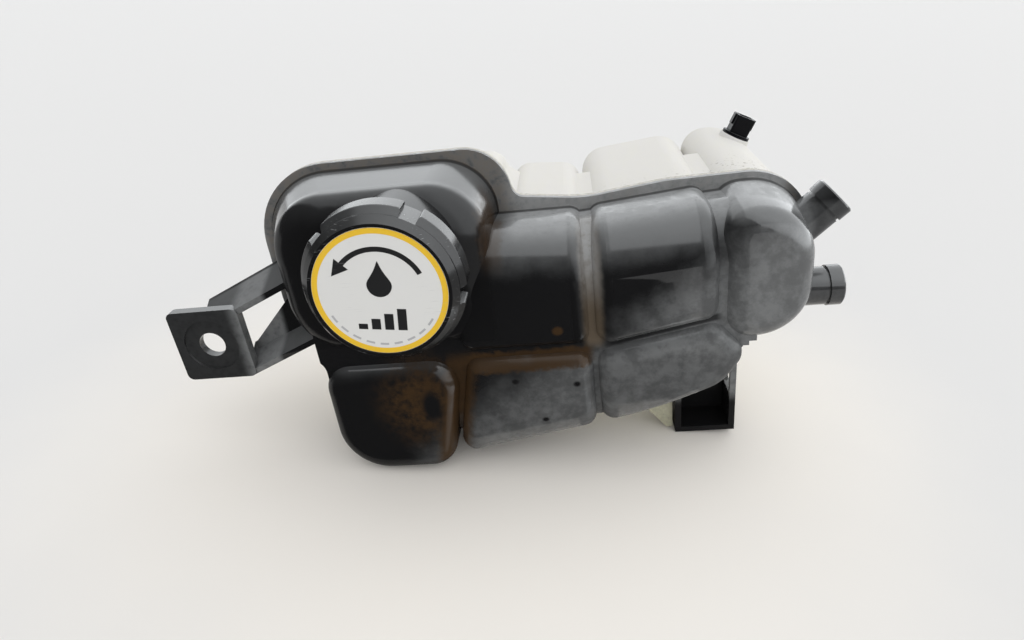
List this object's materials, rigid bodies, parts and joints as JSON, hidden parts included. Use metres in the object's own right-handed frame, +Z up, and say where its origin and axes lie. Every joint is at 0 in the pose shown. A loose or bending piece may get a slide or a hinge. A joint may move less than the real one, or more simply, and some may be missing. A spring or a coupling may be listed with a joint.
{
  "type": "coolant expansion tank",
  "caption": "Lobed two-part coolant tank with a screw cap and pressure valve, hose stubs, arm bracket, foot pocket and a level sensor with its float.",
  "frame": {"origin": "on the floor under the middle of the lying tank's box", "axes": "+X along the tank towards the hose stubs, -Y the way the cap points, +Z up as the tank lies"},
  "size_m": [0.3076, 0.179, 0.1492],
  "materials": {
    "black_moulding": "moulded black polypropylene, dusty, brown dirt in the grooves",
    "natural_moulding": "natural off-white polypropylene, translucent, grey specks by the flange",
    "cap_plastic": "black, scuffed on the grips",
    "label": "white disc with a yellow ring and plain dark shapes",
    "insert_plastic": "black moulded",
    "rubber": "black seal rubber",
    "steel": "plain drawn or stamped",
    "brass": "turned",
    "sensor_plastic": "clean black",
    "glass": "clear green",
    "float_plastic": "foamed off-white",
    "magnet": "dark ferrite"
  },
  "bodies": {
    "tank": {"upper_shell": "black_moulding", "lower_shell": "natural_moulding", "sensor_body": "sensor_plastic", "sensor_terminals": "steel", "sensor_seal": "rubber", "reed_capsule": "glass", "float_keeper": "steel"},
    "cap_insert": {"cap_plug": "insert_plastic", "plug_seal": "rubber", "valve_retainer": "insert_plastic", "relief_spring": "steel"},
    "cap": {"cap_shell": "cap_plastic", "cap_label": "label"},
    "relief_valve": {"relief_plate": "steel", "relief_seal": "rubber", "vacuum_spring": "steel"},
    "suction_valve": {"vacuum_valve": "brass", "vacuum_keeper": "brass"},
    "float": {"float_ring": "float_plastic", "float_magnet": "magnet"}
  },
  "joints": [
    {"name": "cap_lift", "type": "slide", "parent": "tank", "child": "cap_insert", "axis": [0, -1, 0], "range_m": [0, 0.008]},
    {"name": "cap_turn", "type": "hinge", "parent": "cap_insert", "child": "cap", "pos_m": [-0.03566, -0.0835, 0.11377], "axis": [0, -1, 0], "range_deg": [0, 720]},
    {"name": "relief_lift", "type": "slide", "parent": "cap_insert", "child": "relief_valve", "axis": [0, -1, 0], "range_m": [0, 0.003], "stiffness_N_per_m": 400, "deforming": ["relief_spring"]},
    {"name": "vacuum_open", "type": "slide", "parent": "relief_valve", "child": "suction_valve", "axis": [0, 1, 0], "range_m": [0, 0.0016], "stiffness_N_per_m": 40, "deforming": ["vacuum_spring"]},
    {"name": "float_travel", "type": "slide", "parent": "tank", "child": "float", "axis": [0, -1, 0], "range_m": [0, 0.022]}
  ],
  "couplings": [
    {"joint": "cap_lift", "follows": "cap_turn", "m_per_rad": 0.000636}
  ]
}
